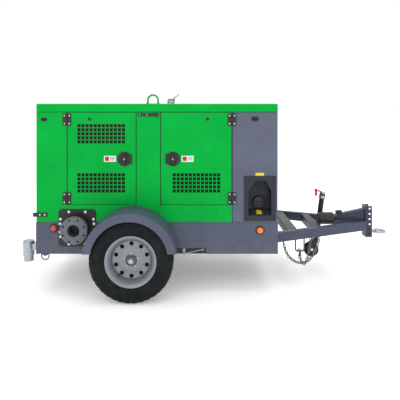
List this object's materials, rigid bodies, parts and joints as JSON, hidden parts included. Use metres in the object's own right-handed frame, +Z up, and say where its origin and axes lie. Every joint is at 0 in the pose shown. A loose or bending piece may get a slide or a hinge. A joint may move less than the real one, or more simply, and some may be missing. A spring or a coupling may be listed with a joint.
{
  "type": "towable diesel pump set",
  "caption": "Sound-enclosed diesel-driven water pump on a single-axle trailer, with opening service doors, flanged ports, jack and lunette hitch",
  "frame": {"origin": "on the ground, under the middle of the overall length and width", "axes": "+X towards the towing eye, +Y to the left side, +Z up"},
  "size_m": [3.3834, 1.82, 1.7067],
  "materials": {
    "green_paint": "semi-gloss powder coat on sheet steel",
    "grey_paint": "satin powder coat",
    "frame_paint": "satin chassis paint",
    "black_plastic": "moulded, fine grain",
    "black_steel": "black coated steel",
    "galvanised": "hot-dip galvanised, mottled",
    "silver_paint": "silver wheel paint",
    "tyre": "matt, moulded tread",
    "cast_grey": "painted casting",
    "steel": "weathered steel",
    "red_paint": "gloss red",
    "amber_lens": "moulded lens",
    "red_lens": "moulded lens"
  },
  "bodies": {
    "root": {"axle_beam": "black_steel", "base_front": "frame_paint", "base_rear": "frame_paint", "base_side_left": "frame_paint", "base_side_right": "frame_paint", "control_panel": "grey_paint", "cross_member_front": "frame_paint", "cross_member_jack": "frame_paint", "deck_plate": "black_steel", "diesel_engine": "cast_grey", "discharge_port": "cast_grey", "document_tube": "black_plastic", "exhaust_stack": "steel", "fender_left": "frame_paint", "fender_right": "frame_paint", "filler_recess": "frame_paint", "frame_beam_left": "frame_paint", "frame_beam_right": "frame_paint", "front_panel": "grey_paint", "fuel_tank": "black_plastic", "hitch_channel": "frame_paint", "jack_tube": "black_steel", "lifting_eye": "green_paint", "lunette_ring": "galvanised", "marker_lamp_amber": "amber_lens", "marker_lamp_red": "red_lens", "pump_casing": "cast_grey", "radiator": "black_steel", "roof": "green_paint", "safety_chain_a": "galvanised", "safety_chain_b": "galvanised", "side_frame_left": "green_paint", "side_frame_right": "green_paint", "side_panel_left": "grey_paint", "side_panel_right": "grey_paint", "suction_port": "cast_grey"},
    "crank_train": {"crank_train": "steel"},
    "fuel_cap": {"fuel_cap": "black_plastic"},
    "rain_flap": {"rain_flap": "steel"},
    "rear_door": {"rear_door": "green_paint"},
    "drain_lever": {"drain_lever": "black_steel"},
    "jack_leg": {"jack_leg": "galvanised"},
    "jack_wheel": {"jack_wheel": "black_plastic"},
    "jack_crank": {"jack_crank": "red_paint"},
    "wheel_right": {"rim_right": "silver_paint", "tyre_right": "tyre"},
    "door_rear_right": {"door_rear_right": "green_paint"},
    "latch_rear_right": {"latch_rear_right": "black_plastic"},
    "door_front_right": {"door_front_right": "green_paint"},
    "latch_front_right": {"latch_front_right": "black_plastic"},
    "stabilizer_leg_right": {"stabilizer_leg_right": "galvanised"},
    "tie_ring_right": {"tie_ring_right": "galvanised"},
    "wheel_left": {"rim_left": "silver_paint", "tyre_left": "tyre"},
    "door_rear_left": {"door_rear_left": "green_paint"},
    "latch_rear_left": {"latch_rear_left": "black_plastic"},
    "door_front_left": {"door_front_left": "green_paint"},
    "latch_front_left": {"latch_front_left": "black_plastic"},
    "stabilizer_leg_left": {"stabilizer_leg_left": "galvanised"},
    "tie_ring_left": {"tie_ring_left": "galvanised"}
  },
  "joints": [
    {"name": "wheel_right_spin", "type": "hinge", "parent": "root", "child": "wheel_right", "pos_m": [-0.698, -0.7875, 0.344], "axis": [0, 1, 0], "continuous": true},
    {"name": "door_rear_right_hinge", "type": "hinge", "parent": "root", "child": "door_rear_right", "pos_m": [-1.278, -0.62, 1.138], "axis": [0, 0, -1], "range_deg": [0, 115]},
    {"name": "latch_rear_right_turn", "type": "hinge", "parent": "door_rear_right", "child": "latch_rear_right", "pos_m": [-0.785, -0.6163, 1.138], "axis": [0, -1, 0], "range_deg": [0, 90]},
    {"name": "door_front_right_hinge", "type": "hinge", "parent": "root", "child": "door_front_right", "pos_m": [0.134, -0.62, 1.138], "axis": [0, 0, 1], "range_deg": [0, 115]},
    {"name": "latch_front_right_turn", "type": "hinge", "parent": "door_front_right", "child": "latch_front_right", "pos_m": [-0.372, -0.6163, 1.138], "axis": [0, -1, 0], "range_deg": [0, 90]},
    {"name": "stabilizer_leg_right_drop", "type": "slide", "parent": "root", "child": "stabilizer_leg_right", "axis": [0, 0, -1], "range_m": [0, 0.09]},
    {"name": "tie_ring_right_swing", "type": "hinge", "parent": "root", "child": "tie_ring_right", "pos_m": [-1.4695, -0.59, 0.316], "axis": [1, 0, 0], "range_deg": [-75, 75]},
    {"name": "wheel_left_spin", "type": "hinge", "parent": "root", "child": "wheel_left", "pos_m": [-0.698, 0.7875, 0.344], "axis": [0, 1, 0], "continuous": true},
    {"name": "door_rear_left_hinge", "type": "hinge", "parent": "root", "child": "door_rear_left", "pos_m": [-1.278, 0.62, 1.138], "axis": [0, 0, 1], "range_deg": [0, 85]},
    {"name": "latch_rear_left_turn", "type": "hinge", "parent": "door_rear_left", "child": "latch_rear_left", "pos_m": [-0.785, 0.6163, 1.138], "axis": [0, 1, 0], "range_deg": [0, 90]},
    {"name": "door_front_left_hinge", "type": "hinge", "parent": "root", "child": "door_front_left", "pos_m": [0.134, 0.62, 1.138], "axis": [0, 0, -1], "range_deg": [0, 115]},
    {"name": "latch_front_left_turn", "type": "hinge", "parent": "door_front_left", "child": "latch_front_left", "pos_m": [-0.372, 0.6163, 1.138], "axis": [0, 1, 0], "range_deg": [0, 90]},
    {"name": "stabilizer_leg_left_drop", "type": "slide", "parent": "root", "child": "stabilizer_leg_left", "axis": [0, 0, -1], "range_m": [0, 0.09]},
    {"name": "tie_ring_left_swing", "type": "hinge", "parent": "root", "child": "tie_ring_left", "pos_m": [-1.4695, 0.59, 0.316], "axis": [1, 0, 0], "range_deg": [-75, 75]},
    {"name": "rear_door_hinge", "type": "hinge", "parent": "root", "child": "rear_door", "pos_m": [-1.551, 0, 1.5345], "axis": [0, 1, 0], "range_deg": [0, 95]},
    {"name": "crank_train_spin", "type": "hinge", "parent": "root", "child": "crank_train", "pos_m": [-1.198, 0, 0.744], "axis": [1, 0, 0], "continuous": true},
    {"name": "fuel_cap_turn", "type": "hinge", "parent": "root", "child": "fuel_cap", "pos_m": [0.377, -0.4903, 0.747], "axis": [0, -1, 0], "range_deg": [0, 90]},
    {"name": "rain_flap_hinge", "type": "hinge", "parent": "root", "child": "rain_flap", "pos_m": [-0.39, 0, 1.6678], "axis": [0, -1, 0], "range_deg": [0, 143]},
    {"name": "drain_lever_turn", "type": "hinge", "parent": "root", "child": "drain_lever", "pos_m": [-0.277, -0.6063, 0.362], "axis": [0, 1, 0], "range_deg": [0, 90]},
    {"name": "jack_leg_slide", "type": "slide", "parent": "root", "child": "jack_leg", "axis": [0.1392, 0, 0.9903], "range_m": [-0.25, 0.03]},
    {"name": "jack_crank_turn", "type": "hinge", "parent": "root", "child": "jack_crank", "pos_m": [1.07274, 0, 0.72738], "axis": [0.1392, 0, 0.9903], "range_deg": [-9001, 1081]},
    {"name": "jack_wheel_spin", "type": "hinge", "parent": "jack_leg", "child": "jack_wheel", "pos_m": [0.96, 0, 0.186], "axis": [0, 1, 0], "continuous": true}
  ],
  "couplings": [
    {"joint": "jack_crank_turn", "follows": "jack_leg_slide", "rad_per_m": 628.32}
  ]
}
